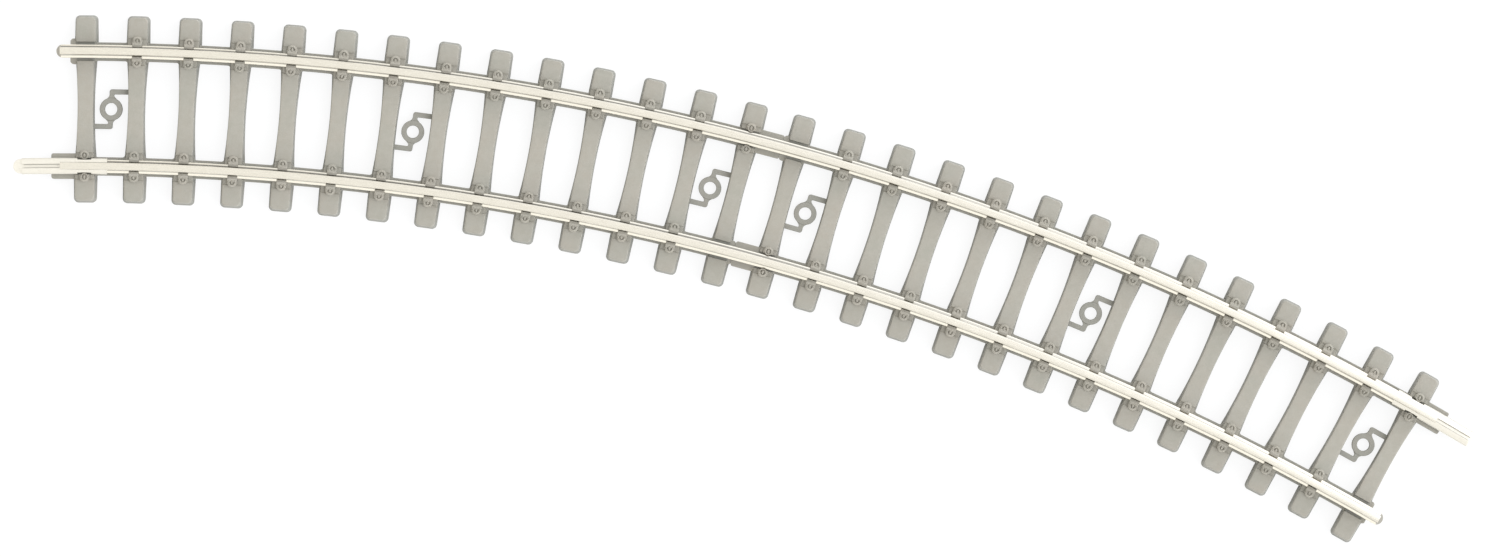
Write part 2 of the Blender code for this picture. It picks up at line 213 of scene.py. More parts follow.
def fillet(corners, steps=5):
    """Outline of (x, y) points from (x, y, radius) corners, each rounded to its radius."""
    outline = []
    for i, (x, y, radius) in enumerate(corners):
        corner = np.array((x, y), float)
        if radius == 0:
            outline.append(corner)
            continue
        to_last = np.array(corners[i - 1][:2], float) - corner
        to_next = np.array(corners[(i + 1) % len(corners)][:2], float) - corner
        last, following = np.linalg.norm(to_last), np.linalg.norm(to_next)
        to_last, to_next = to_last / last, to_next / following
        half = math.acos(np.clip(to_last @ to_next, -1, 1)) / 2
        cut = min(radius / math.tan(half), 0.48 * last, 0.48 * following)
        radius = cut * math.tan(half)
        bisector = to_last + to_next
        centre = corner + bisector / np.linalg.norm(bisector) * radius / math.sin(half)
        start, end = corner + to_last * cut - centre, corner + to_next * cut - centre
        turn = math.atan2(start[0] * end[1] - start[1] * end[0], start @ end)
        for k in range(steps + 1):
            a = turn * k / steps
            c, s = math.cos(a), math.sin(a)
            outline.append(centre + (c * start[0] - s * start[1], s * start[0] + c * start[1]))
    return np.array(outline)


def inset(outline, distance):
    """Counter-clockwise outline, moved inwards by a distance."""
    if distance == 0:
        return outline
    before, after = outline - np.roll(outline, 1, 0), np.roll(outline, -1, 0) - outline
    before /= np.linalg.norm(before, axis=1, keepdims=True)
    after /= np.linalg.norm(after, axis=1, keepdims=True)
    inward = np.stack((-(before + after)[:, 1], (before + after)[:, 0]), 1)
    inward /= np.linalg.norm(inward, axis=1, keepdims=True)
    cosine = np.abs(inward[:, 0] * -before[:, 1] + inward[:, 1] * before[:, 0])
    return outline + inward * (distance / np.maximum(cosine, 0.4))[:, None]


def half_circle(centre_x, centre_y, radius, steps):
    """Points from straight down, round the right side, to straight up."""
    turns = [math.pi * (k / steps - 0.5) for k in range(steps + 1)]
    return [(centre_x + radius * math.cos(a), centre_y + radius * math.sin(a)) for a in turns]


def oval(half_x, half_y, centre=(0.0, 0.0), sides=28):
    turns = np.arange(sides) * 2 * math.pi / sides
    return np.stack((centre[0] + half_x * np.cos(turns), centre[1] + half_y * np.sin(turns)), 1)


def bevelled(low, high, radius, steps=3, both=False):
    """Levels (inset, height) of a slab with its upper edge rounded, and with both its lower one."""
    arc = [math.pi / 2 * k / steps for k in range(steps + 1)]
    top = [(radius * (1 - math.cos(a)), high - radius * (1 - math.sin(a))) for a in arc]
    if not both:
        return [(0.0, low)] + top
    bottom = [(radius * (1 - math.cos(a)), low + radius * (1 - math.sin(a))) for a in reversed(arc)]
    return bottom + top


# Meshes


def add_object(name, bm):
    mesh = bpy.data.meshes.new(name)
    bmesh.ops.recalc_face_normals(bm, faces=bm.faces)
    bm.to_mesh(mesh)
    bm.free()
    obj = bpy.data.objects.new(name, mesh)
    bpy.context.scene.collection.objects.link(obj)
    return obj


def mesh_of(obj):
    """The mesh of an object, which is removed."""
    mesh = obj.data
    bpy.data.objects.remove(obj)
    return mesh


def flat_cap(bm, loop):
    """Closes the end of a solid with one flat face."""
    bm.faces.new(loop)


def loft(name, rings, cap=flat_cap):
    """Closed solid through rings with the same number of points."""
    bm = bmesh.new()
    loops = [[bm.verts.new(point) for point in ring] for ring in rings]
    for near, far in zip(loops, loops[1:]):
        for i in range(len(near)):
            bm.faces.new((near[i - 1], near[i], far[i], far[i - 1]))
    cap(bm, loops[0])
    cap(bm, loops[-1])
    return add_object(name, bm)


def slab(name, outline, levels, place=lambda x, y, z: (x, y, z)):
    """Upright solid over a plan outline, through levels of (inset, height)."""
    rings = []
    for distance, z in levels:
        rings.append([Vector(place(x, y, z)) for x, y in inset(outline, distance)])
    return loft(name, rings)


def torus(name, half_x, half_y, centre, z, tube_x, tube_z, around=24, sides=8):
    """Closed oval ring with an oval section."""
    bm = bmesh.new()
    loops = []
    for i in range(around):
        a = 2 * math.pi * i / around
        loop = []
        for k in range(sides):
            b = 2 * math.pi * k / sides
            out = tube_x * math.cos(b)
            x = centre[0] + (half_x + out) * math.cos(a)
            y = centre[1] + (half_y + out) * math.sin(a)
            loop.append(bm.verts.new((x, y, z + tube_z * math.sin(b))))
        loops.append(loop)
    for near, far in zip(loops, loops[1:] + loops[:1]):
        for k in range(sides):
            bm.faces.new((near[k - 1], near[k], far[k], far[k - 1]))
    return add_object(name, bm)


def combine(obj, operation, *tools):
    """Booleans of solids, written into the first one's mesh; the tools are removed."""
    for tool in tools:
        modifier = obj.modifiers.new(operation.lower(), "BOOLEAN")
        modifier.operation = operation
        modifier.solver = "MANIFOLD"
        modifier.object = tool
        depsgraph = bpy.context.evaluated_depsgraph_get()
        mesh = bpy.data.meshes.new_from_object(obj.evaluated_get(depsgraph))
        obj.modifiers.clear()
        obj.data = mesh
        bpy.data.objects.remove(tool)
    return obj


def turned_about_arc(angle):
    """Turn clockwise about the arc's centre, for meshes built about the centre-line's middle."""
    to_centre = Matrix.Translation((0, TRACK_RADIUS, 0))
    return to_centre.inverted() @ Matrix.Rotation(-angle, 4, "Z") @ to_centre


# Sleepers: x along the track, y outwards from the centre-line. A rail's seat on a sleeper is
# "plain" with two hooked chairs, "joiner" with two chairs and a lowered seat, or "open" with a
# lowered seat and no chairs.

LOWERED_HALF = {"plain": 0.0, "open": OPEN_HALF, "joiner": JOINER_HALF}


def seat_height(y, seat):
    """Height of the sleeper's top, lowered under the rail where a joiner passes."""
    from_rail = abs(abs(y) - RAIL_OFFSET)
    if from_rail < LOWERED_HALF[seat]:
        return POCKET_HEIGHT
    if seat == "open" and from_rail < SHOULDER_HALF:
        return OPEN_SHOULDER
    return eased(HEIGHTS, y)


def sleeper_levels(height, draft):
    """(inset, height) points up one side of the sleeper, with a rounded upper edge."""
    levels = [(0.0, 0.0), (draft / 2, height / 2)]
    start = height - EDGE_ROUND
    slope = draft * start / height
    for k in range(ROUND_STEPS + 1):
        a = math.pi / 2 * k / ROUND_STEPS
        levels.append((slope + EDGE_ROUND * (1 - math.cos(a)), start + EDGE_ROUND * math.sin(a)))
    return levels


def ring_from(side_points):
    """Points round a sleeper, from (half width, y, z) points up one of its sides."""
    low_half, low_y, low_z = side_points[0]
    high_half, high_y, high_z = side_points[-1]
    shares = [2 * k / (ACROSS + 1) - 1 for k in range(1, ACROSS + 1)]
    ring = [Vector((-half, y, z)) for half, y, z in side_points]
    ring += [Vector((high_half * share, high_y, high_z)) for share in shares]
    ring += [Vector(point) for point in reversed(side_points)]
    ring += [Vector((-low_half * share, low_y, low_z)) for share in shares]
    return ring


def middle_ring(y, seat):
    """Ring across the sleeper at one station."""
    half = straight(WIDTHS, y)
    levels = sleeper_levels(seat_height(y, seat), straight(DRAFTS, y))
    return ring_from([(half - distance, y, z) for distance, z in levels])


def corner_ring(side, turn):
    """Ring at one place on the rounded corners of the sleeper's outer or inner end."""
    points = []
    height = eased(HEIGHTS, HALF_LENGTH - CORNER * (1 - math.sin(turn)))
    for distance, z in sleeper_levels(height, DRAFT):
        radius = CORNER - CORNER_SHRINK * distance
        y = side * (HALF_LENGTH - distance - radius * (1 - math.sin(turn)))
        half = END_HALF_WIDTH - distance - radius * (1 - math.cos(turn))
        points.append((half, y, z))
    return ring_from(points)


def end_cap(bm, loop):
    """Closes the end of a sleeper with rows at the heights of its ring's points."""
    rows = (len(loop) - 2 * ACROSS) // 2
    grid = []
    for k in range(rows):
        left, right = loop[k], loop[2 * rows + ACROSS - 1 - k]
        if k == 0:
            inner = list(reversed(loop[2 * rows + ACROSS:]))
        elif k == rows - 1:
            inner = loop[rows:rows + ACROSS]
        else:
            shares = [j / (ACROSS + 1) for j in range(1, ACROSS + 1)]
            inner = [bm.verts.new(left.co.lerp(right.co, share)) for share in shares]
        grid.append([left, *inner, right])
    for lower, upper in zip(grid, grid[1:]):
        for j in range(ACROSS + 1):
            bm.faces.new((lower[j], lower[j + 1], upper[j + 1], upper[j]))


def stations(seats):
    """Places along the sleeper from the outer end to the inner, close together at each step."""
    places = set(np.round(np.linspace(-STRAIGHT_HALF, STRAIGHT_HALF, STATIONS), 3))
    for side, seat in zip((1, -1), seats):
        places |= {side * edge for edge in SEAT_EDGES}
        if seat != "plain":
            half = LOWERED_HALF[seat]
            for edge in (RAIL_OFFSET - half, RAIL_OFFSET + half):
                places |= {side * (edge - STEP_HALF), side * (edge + STEP_HALF)}
    return sorted(places, reverse=True)


def sleeper_block(seats):
    """A sleeper without its chairs; seats holds the outer rail's seat, then the inner rail's."""
    turns = [math.pi / 2 * k / CORNER_STEPS for k in range(CORNER_STEPS, -1, -1)]
    rings = [corner_ring(1, turn) for turn in turns]
    rings += [middle_ring(y, seats[0] if y > 0 else seats[1]) for y in stations(seats)]
    rings += [corner_ring(-1, turn) for turn in reversed(turns)]
    return loft("sleeper", rings, end_cap)


def chair_plate(face):
    """Rounded plate with a screw in a well and a clip round it; y is the distance from the rail."""
    turns = [math.pi * k / CHAIR_STEPS for k in range(CHAIR_STEPS + 1)]
    outline = [(CHAIR_HALF, face)]
    outline += [(CHAIR_HALF * math.cos(a), ROUND_CENTRE + CHAIR_HALF * math.sin(a)) for a in turns]
    outline += [(-CHAIR_HALF, face)]
    middle = (0.0, ROUND_CENTRE)
    plate = slab("plate", np.array(outline), bevelled(CHAIR_ROOT, PLATE_TOP, PLATE_ROUND))
    well = slab("well", oval(*WELL_HALF, middle, 24), [(0, WELL_FLOOR), (0, FAR)])
    combine(plate, "DIFFERENCE", well)
    clip = torus(
        "clip", CLIP_RADIUS, CLIP_RADIUS, middle, PLATE_TOP, CLIP_THICKNESS, CLIP_TOP - PLATE_TOP
    )
    screw_levels = [(0, SCREW_ROOT)] + bevelled(SCREW_EDGE, CLIP_TOP, 0.1)
    screw = slab("screw", oval(*SCREW_HALF, middle, 20), screw_levels)
    return combine(plate, "UNION", clip, screw)


def chair_hook():
    """Block over the edge of the rail's foot, with its root sunk in the plate."""
    underside = RAIL_BASE + FOOT_EDGE + HOOK_GAP
    section = fillet([
        (HOOK_REACH, underside, 0.02), (FACE + 0.03, underside, 0.0), (FACE + 0.05, HOOK_ROOT, 0.0),
        (HOOK_BACK, HOOK_ROOT, 0.0), (HOOK_BACK + 0.1, PLATE_TOP + 0.02, 0.0),
        (HOOK_SLOPE, HOOK_TOP, 0.15), (HOOK_REACH, HOOK_TOP, 0.12),
    ], 4)
    ends = bevelled(-HOOK_HALF, HOOK_HALF, 0.07, both=True)
    return slab("hook", section, ends, lambda y, z, x: (x, y, z))


def chair(rail, side, hooked):
    """Fastening on one side of a rail, which runs at the offset rail."""
    plate = chair_plate(FACE if hooked else JOINER_FACE)
    if hooked:
        combine(plate, "UNION", chair_hook())
    mesh = plate.data
    mesh.transform(Matrix.Translation((0, rail, 0)) @ Matrix.Diagonal((1, side, 1, 1)))
    if side < 0:
        mesh.flip_normals()
    return plate


def polar(angle, offset, z):
    """Point about the middle of the centre-line, from an angle and an offset outwards."""
    radius = TRACK_RADIUS + offset
    return Vector((radius * math.sin(angle), radius * math.cos(angle) - TRACK_RADIUS, z))


def web(rail):
    """Bar below a rail, from the middle of one gap to the middle of the next, with fillets."""
    radius = TRACK_RADIUS + rail
    reach = PITCH / 2 * radius
    wall = straight(WIDTHS, rail) - DRAFT * WEB_HIGH / SEAT_HEIGHT
    flare_start = wall + WEB_FILLET
    quarter = [math.pi / 2 * k / FILLET_STEPS for k in range(FILLET_STEPS + 1)]
    places = [reach, 0.9 * (reach - flare_start) + flare_start]
    places += [wall + WEB_FILLET * (1 - math.sin(a)) for a in quarter]
    places += [0.0]
    places = [-x for x in places] + list(reversed(places[:-1]))
    rings = []
    for x in places:
        near = max(0.0, min(1.0, (flare_start - abs(x)) / WEB_FILLET))
        half = WEB_BREADTH + WEB_FILLET * (1 - math.sqrt(1 - near * near))
        section = fillet([
            (rail - half, WEB_LOW, 0.1), (rail + half, WEB_LOW, 0.1),
            (rail + half, WEB_HIGH, 0.12), (rail - half, WEB_HIGH, 0.12),
        ], 3)
        rings.append([polar(x / radius, offset, z) for offset, z in section])
    return loft("web", rings)


def block(low_x, high_x, low_y, high_y):
    """Outline of a rectangle."""
    return np.array([(low_x, low_y), (high_x, low_y), (high_x, high_y), (low_x, high_y)])


def half_web(rail, end):
    """The same bar without the half towards the strip's end, for the sleeper that stands there."""
    outline = block(*sorted((0.0, end * FAR)), rail - FAR, rail + FAR)
    return combine(web(rail), "DIFFERENCE", slab("half", outline, [(0, -FAR), (0, FAR)]))


def end_piece(rail, end, broad):
    """Stub beyond the strip's last sleeper: broad past the joint plane, or a nose before it."""
    radius = TRACK_RADIUS + rail
    plane = END_MARGIN * radius
    if broad:
        tip = plane + STUB_OVERHANG
        upper = [(0.0, STUB_BREADTH, 0.0), (tip, STUB_BREADTH, STUB_CORNER)]
    else:
        tip = plane - NOSE_SETBACK
        shoulder = tip - STUB_CORNER
        upper = [(0.0, STUB_BREADTH, 0.0), (shoulder, STUB_BREADTH, 0.2), (tip, NOSE_BREADTH, 0.1)]
    outline = fillet(upper + [(x, -breadth, corner) for x, breadth, corner in reversed(upper)])
    if end > 0:
        outline = outline[::-1]
    levels = bevelled(WEB_LOW, STUB_HIGH, 0.1, both=True)
    return slab("stub", outline, levels, lambda x, y, z: polar(end * x / radius, rail + y, z))


def unit(seats, end=0):
    """One sleeper with its chairs and webs; end is -1 or 1 at the strip's left or right end."""
    sleeper = sleeper_block(seats)
    parts = []
    for rail, seat in zip((RAIL_OFFSET, -RAIL_OFFSET), seats):
        if end:
            parts.append(half_web(rail, end))
            parts.append(end_piece(rail, end, seat == "joiner"))
        else:
            parts.append(web(rail))
        if seat != "open":
            parts += [chair(rail, side, seat == "plain") for side in (-1, 1)]
    return combine(sleeper, "UNION", *parts)


def eyelet():
    """Ring for a track screw with a bent arm to the sleeper on either side."""
    ring_levels = bevelled(RING_LOW, RING_HIGH, 0.1, both=True)
    ring = slab("eyelet", oval(RING_RADIUS, RING_RADIUS, sides=RING_SIDES), ring_levels)
    arm_levels = bevelled(RING_LOW, ARM_HIGH, 0.09, both=True)
    for side in (-1, 1):
        combine(ring, "UNION", slab("arm", fillet(ARM) * side, arm_levels))
    flare = [
        (0, -FAR), (0, RING_HIGH - 0.1), (-0.03, RING_HIGH - 0.03), (-0.11, RING_HIGH + 0.02),
        (-0.11, FAR),
    ]
    hole = slab("hole", oval(HOLE_RADIUS, HOLE_RADIUS, sides=RING_SIDES), flare)
    return combine(ring, "DIFFERENCE", hole)


def joined(parts):
    """Units from (mesh, angle) pairs, sewn together where their webs meet between sleepers."""
    bm = bmesh.new()
    for mesh, angle in parts:
        piece = bmesh.new()
        piece.from_mesh(mesh)
        cut = []
        for face in piece.faces:
            centre = face.calc_center_median()
            place = math.atan2(centre.x, centre.y + TRACK_RADIUS)
            if abs(abs(place) - PITCH / 2) < 1e-6 and abs(face.normal.x) > 0.99:
                cut.append(face)
        bmesh.ops.delete(piece, geom=cut, context="FACES")
        piece.transform(turned_about_arc(angle))
        turned = bpy.data.meshes.new("turned")
        piece.to_mesh(turned)
        piece.free()
        bm.from_mesh(turned)
        bpy.data.meshes.remove(turned)
    edge = [v for v in bm.verts if v.is_boundary]
    bmesh.ops.remove_doubles(bm, verts=edge, dist=SEW_DISTANCE)
    return add_object("strip", bm)


def strip_mesh():
    """One moulded strip, centred on angle 0."""
    middle = (SLEEPERS - 1) / 2
    angles = [(i - middle) * PITCH for i in range(SLEEPERS)]
    first = unit(("open", "joiner"), -1)
    plain = unit(("plain", "plain"))
    last = unit(("joiner", "open"), 1)
    meshes = [first.data] + [plain.data] * (SLEEPERS - 2) + [last.data]
    strip = joined(zip(meshes, angles))
    for model in (first, plain, last):
        bpy.data.objects.remove(model)
    ring = eyelet()
    for i in EYELET_GAPS:
        angle = (angles[i] + angles[i + 1]) / 2
        copy = bpy.data.objects.new("eyelet", ring.data.copy())
        bpy.context.scene.collection.objects.link(copy)
        copy.data.transform(turned_about_arc(angle))
        combine(strip, "UNION", copy)
    bpy.data.objects.remove(ring)
    return mesh_of(strip)


# Rails and joiners


def swept(name, section, rail, start, end, steps):
    """Section of (offset, height above the rail's base) swept along the curve between angles."""
    rings = []
    for i in range(steps + 1):
        angle = start + (end - start) * i / steps
        rings.append([polar(angle, rail + offset, RAIL_BASE + z) for offset, z in section])
    return loft(name, rings)


def mirrored(half):
    """Closed section from its right half, given from the bottom up as (offset, height, radius)."""
    return fillet(half + [(-x, z, r) for x, z, r in reversed(half)])


def rail_section():
    """Section of the rail about its middle: foot, web, and head with rounded upper edges."""
    return mirrored([
        (FOOT_HALF, 0.0, 0.05), (FOOT_HALF, FOOT_EDGE, 0.08), (WEB_HALF, FOOT_RISE, 0.15),
        (WEB_HALF, HEAD_UNDERSIDE, 0.1), (HEAD_HALF, HEAD_SIDE, 0.06),
        (HEAD_HALF, RAIL_HEIGHT - HEAD_CROWN, 0.16), (CROWN_HALF, RAIL_HEIGHT, 0.0),
    ])


def at_end(side, radius):
    """Function to a point from the distance past the section's end, an offset and a height."""
    return lambda along, offset, z: polar(side * (STRIP_ANGLE + along / radius), offset, z)


def rail(name, offset, free_side):
    """A rail whose foot stands past its head at the free end, as a rounded tongue."""
    radius = TRACK_RADIUS + offset
    tip = free_side * (STRIP_ANGLE + TONGUE_LENGTH / radius)
    start, end = sorted((tip, -free_side * STRIP_ANGLE))
    body = swept(name, rail_section(), offset, start, end, RAIL_STEPS)
    place = at_end(free_side, radius)
    edge = RAIL_BASE + FOOT_EDGE
    beyond = block(0, FAR, offset - FAR, offset + FAR)
    combine(body, "DIFFERENCE", slab("beyond", beyond, [(0, edge), (0, FAR)], place))
    centre = TONGUE_LENGTH - FOOT_HALF
    corners = half_circle(centre, offset, FOOT_HALF, TIP_STEPS)
    corners += [
        (centre, offset + FAR), (FAR, offset + FAR), (FAR, offset - FAR), (centre, offset - FAR)
    ]
    outside = slab("corners", np.array(corners), [(0, 0), (0, edge)], place)
    return combine(body, "DIFFERENCE", outside)


def foot_top(offset):
    """Height of the rail foot's sloping top at an offset from its middle."""
    share = (offset - WEB_HALF) / (FOOT_HALF - WEB_HALF)
    return FOOT_RISE + (FOOT_EDGE - FOOT_RISE) * share


def joiner_section():
    """Section of the joiner: a floor below the rail's foot and flanges folded over it."""
    floor = -JOINER_GAP - SHEET
    inner = FOOT_HALF + JOINER_GAP
    side_top = FOOT_EDGE + JOINER_GAP
    tip = foot_top(SLOT_HALF) + JOINER_GAP
    half = [
        (JOINER_WIDTH, floor, 0.22), (JOINER_WIDTH, side_top + SHEET, 0.22),
        (SLOT_HALF, tip + SHEET, 0.05), (SLOT_HALF, tip, 0.03), (inner, side_top, 0.04),
        (inner, floor + SHEET, 0.04),
    ]
    return mirrored(half)


def joiner(name, offset, side):
    """Folded joiner over a rail's end, notched for two chairs, with a rounded tongue outside."""
    radius = TRACK_RADIUS + offset
    place = at_end(side, radius)
    inner_end = STRIP_ANGLE - JOINER_IN / radius
    outer_end = STRIP_ANGLE + JOINER_OUT / radius
    ends = sorted((side * inner_end, side * outer_end))
    body = swept(name, joiner_section(), offset, *ends, JOINER_STEPS)
    middle = -END_MARGIN * radius
    for edge in (-1, 1):
        across = sorted((offset + edge * NOTCH_FLOOR, offset + edge * FAR))
        notch = block(middle - NOTCH_HALF, middle + NOTCH_HALF, *across)
        combine(body, "DIFFERENCE", slab("notch", notch, [(0, 0), (0, FAR)], place))
    centre = JOINER_OUT + JOINER_TONGUE - TONGUE_HALF
    outline = half_circle(centre, offset, TONGUE_HALF, TIP_STEPS)
    root = JOINER_OUT - SHEET
    outline += [(root, offset + TONGUE_HALF), (root, offset - TONGUE_HALF)]
    low = RAIL_BASE - JOINER_GAP - SHEET
    levels = bevelled(low, low + SHEET, 0.04, both=True)
    return combine(body, "UNION", slab("tongue", np.array(outline), levels, place))


# Materials. The shares are what is left of the colour there.

# Painted shade makes the moulding darker low down between the sleepers, and painted light makes it
# paler on the chairs and in its middle
LOW_SHADE = 0.77
LOW_TONE_UP = 1.2
HIGH_TONE_UP = 2.1
SHADE_TINT = (0.0, 0.03, 0.045)
CHAIR_LIGHT = 1.1
WAIST_LIGHT = 1.06
WAIST_ENDS = (2.0, 6.0)

# Painted shade darkens the floors of the lowered seats below the rails
POCKET_SHADE = 0.75
POCKET_SPARE = 0.02  # past the longest seat's ends
POCKET_DEPTH = 0.05  # above or below the seat's floor

# Painted shadow on the rail's foot beside the head, and painted light on the rest of the foot.
INNER_SHADOW = 0.5
INNER_FOOT_LIGHT = 1.2
INNER_WIDTH = 0.16
OUTER_SHADOW = 0.15
OUTER_FOOT_LIGHT = 1.15
OUTER_WIDTH = (0.05, 0.38)
# Outwards, the painted shadow fades from left to right.
OUTER_FADE = (-60.0, 110.0)
OUTER_FADE_SHARES = (0.1, 1.1)
# The foot past the rail's free end is darker
TONGUE_DARKENING = 0.52
END_ALONG = TRACK_RADIUS * STRIP_ANGLE + 0.02

# Painted shadow darkens the joiner's floor beside its flanges
JOINER_SHADOW = 0.5
JOINER_SHADOW_WIDTH = 0.14
FLANGE_ALONG = TRACK_RADIUS * STRIP_ANGLE + JOINER_OUT - 0.15


def new_material(name):
    """A material with its node tree and its main shader."""
    made = bpy.data.materials.new(name)
    made.use_nodes = True
    return made, made.node_tree, made.node_tree.nodes["Principled BSDF"]


def node(tree, kind, **values):
    """A shader node with its settings and inputs given by name."""
    made = tree.nodes.new("ShaderNode" + kind)
    for key, value in values.items():
        if hasattr(made, key):
            setattr(made, key, value)
        else:
            made.inputs[key].default_value = value
    return made


def noise(tree, vector, scale, detail=3.0, roughness=0.5):
    made = node(tree, "TexNoise", Scale=scale, Detail=detail, Roughness=roughness)
    tree.links.new(vector, made.inputs["Vector"])
    return made.outputs["Fac"]


def put(tree, value, socket):
    """Links a socket to an input, or sets the input to a number or a colour."""
    if isinstance(value, bpy.types.NodeSocket):
        tree.links.new(value, socket)
    elif isinstance(value, tuple):
        socket.default_value = (*value, 1.0)
    else:
        socket.default_value = value


def mapped(tree, value, low, high, from_low=0.3, from_high=0.7):
    """Value taken from one range to another; the usual first range is where noise mostly lies."""
    made = node(tree, "MapRange")
    names = ("Value", "From Min", "From Max", "To Min", "To Max")
    for name, setting in zip(names, (value, from_low, from_high, low, high)):
        put(tree, setting, made.inputs[name])
    return made.outputs["Result"]


def chosen(tree, switch, off, on):
    """One of two values, by a switch that is 0 or 1."""
    return mapped(tree, switch, off, on, 0.0, 1.0)


def mixed(tree, share, first, second):
    """Two colours mixed; a share above 1 goes past the second."""
    made = node(tree, "Mix", data_type="RGBA", clamp_factor=False)
    for index, value in ((0, share), (6, first), (7, second)):
        put(tree, value, made.inputs[index])
    return made.outputs[2]


def arithmetic(tree, operation, first, second):
    made = node(tree, "Math", operation=operation)
    for value, socket in zip((first, second), made.inputs):
        put(tree, value, socket)
    return made.outputs[0]


def bumped(tree, shader, height, strength, distance):
    made = node(tree, "Bump", Strength=strength, Distance=distance)
    tree.links.new(height, made.inputs["Height"])
    tree.links.new(made.outputs["Normal"], shader.inputs["Normal"])


def is_near(tree, value, place, reach):
    """Switch that is 1 where a value is within reach of a place, and 0 elsewhere."""
    distance = arithmetic(tree, "ABSOLUTE", arithmetic(tree, "SUBTRACT", value, place), 0.0)
    return arithmetic(tree, "LESS_THAN", distance, reach)


def split(tree, vector):
    parts = node(tree, "SeparateXYZ")
    tree.links.new(vector, parts.inputs[0])
    return tuple(parts.outputs)


def arc_place(tree):
    """Vector of millimetres along the curve, outwards from the rail or centre-line, and up."""
    return node(tree, "Attribute", attribute_name="along_across_up").outputs["Vector"]


def eased_range(tree, value, from_low, from_high, low, high):
    """Value taken from one range to another, level at both ends."""
    result = mapped(tree, value, low, high, from_low, from_high)
    result.node.interpolation_type = "SMOOTHSTEP"
    return result


def plastic_material():
    """Matt concrete-grey plastic: faint warm and green patches, a fine eroded grain, painted shade
    low down and on the lowered seats' floors, and painted light on the chairs and in the middle.
    """
    made, tree, shader = new_material("sleeper_plastic_look")
    place = arc_place(tree)
    _, across, up = split(tree, place)
    patches = mapped(tree, noise(tree, place, 0.26, 2.0), 0.0, 1.0)
    cloud = mapped(tree, noise(tree, place, 0.9, 4.0, 0.6), 0.0, 1.0)
    grain = noise(tree, place, 7.0, 3.0, 0.65)
    base = mixed(tree, patches, (0.313, 0.303, 0.256), (0.335, 0.310, 0.260))
    light = mixed(tree, mapped(tree, cloud, 0.0, 0.5), base, (0.350, 0.333, 0.286))
    speckle = mixed(tree, mapped(tree, grain, 0.0, 0.35, 0.35, 0.65), light, (0.256, 0.245, 0.212))
    # Painted shade low down, and painted light on the chairs and in the sleeper's middle, away from
    # the rails
    depth = eased_range(tree, up, LOW_TONE_UP, HIGH_TONE_UP, LOW_SHADE, 1.0)
    crest = eased_range(tree, up, SEAT_HEIGHT + 0.15, PLATE_TOP, 1.0, CHAIR_LIGHT)
    from_middle = arithmetic(tree, "ABSOLUTE", across, 0.0)
    waist = eased_range(tree, from_middle, *WAIST_ENDS, WAIST_LIGHT, 1.0)
    tone = arithmetic(tree, "MULTIPLY", arithmetic(tree, "MULTIPLY", depth, crest), waist)
    # Painted shade on the floors of the lowered seats
    is_inside = is_near(tree, from_middle, RAIL_OFFSET, OPEN_HALF + POCKET_SPARE)
    is_floor = is_near(tree, up, POCKET_HEIGHT, POCKET_DEPTH)
    is_pocket = arithmetic(tree, "MULTIPLY", is_inside, is_floor)
    tone = arithmetic(tree, "MULTIPLY", tone, chosen(tree, is_pocket, 1.0, POCKET_SHADE))
    # The painted shade mixes the colour towards a dark bluish tint; shares above 1 paint light
    tree.links.new(mixed(tree, tone, SHADE_TINT, speckle), shader.inputs["Base Color"])
    tree.links.new(mapped(tree, grain, 0.5, 0.68), shader.inputs["Roughness"])
    shader.inputs["Specular IOR Level"].default_value = 0.35
    bumped(tree, shader, arithmetic(tree, "ADD", grain, cloud), 0.35, 0.00002)
    return made


def metal_material(name, first, second, roughness, streak, painted_shading):
    """Drawn or rolled nickel silver, with fine streaks along the piece.

    The last argument gives the share of the colour that is left, with painted shade and painted
    light, from (tree, along, across, up).
    """
    made, tree, shader = new_material(name)
    place = arc_place(tree)
    along, across, up = split(tree, place)
    stretch = node(tree, "Mapping")
    stretch.inputs["Scale"].default_value = (streak, 14.0, 14.0)
    tree.links.new(place, stretch.inputs["Vector"])
    streaks = noise(tree, stretch.outputs["Vector"], 1.0, 4.0, 0.6)
    spots = noise(tree, place, 3.0, 4.0, 0.7)
    colour = mixed(tree, mapped(tree, streaks, 0.0, 1.0), first, second)
    worn = tuple(channel * 0.9 for channel in first)
    colour = mixed(tree, mapped(tree, spots, 0.0, 0.4, 0.45, 0.75), colour, worn)
    # Painted shade and painted light from the given function scale the colour
    colour = mixed(tree, painted_shading(tree, along, across, up), (0.0, 0.0, 0.0), colour)
    tree.links.new(colour, shader.inputs["Base Color"])
    shader.inputs["Metallic"].default_value = 1.0
    low, high = roughness
    tree.links.new(mapped(tree, streaks, low, high), shader.inputs["Roughness"])
    bumped(tree, shader, streaks, 0.25, 0.00001)
    return made


def rail_painted_light_and_shade(tree, along, across, up):
    """Painted shadow in strips of the foot beside the head, painted light on the rest of the foot,
    and a darker foot past the rail's free end.
    """
    inwards = arithmetic(tree, "MULTIPLY", across, -1.0)
    # Painted shadow on the foot beside the head, and painted light on the rest of the foot
    inner = eased_range(
        tree, inwards, HEAD_HALF, HEAD_HALF + INNER_WIDTH, INNER_SHADOW, INNER_FOOT_LIGHT
    )
    near, far = (HEAD_HALF + width for width in OUTER_WIDTH)
    outer = eased_range(tree, across, near, far, OUTER_SHADOW, OUTER_FOOT_LIGHT)
    fade = eased_range(tree, along, *OUTER_FADE, *OUTER_FADE_SHARES)
    outer = arithmetic(tree, "MAXIMUM", outer, fade)
    foot = chosen(tree, arithmetic(tree, "LESS_THAN", across, 0.0), outer, inner)
    is_head = arithmetic(tree, "GREATER_THAN", up, RAIL_BASE + HEAD_UNDERSIDE)
    share = arithmetic(tree, "MAXIMUM", foot, is_head)
    # Darker foot past the rail's free end
    from_middle = arithmetic(tree, "ABSOLUTE", along, 0.0)
    is_past_end = arithmetic(tree, "GREATER_THAN", from_middle, END_ALONG)
    return chosen(tree, is_past_end, share, TONGUE_DARKENING)


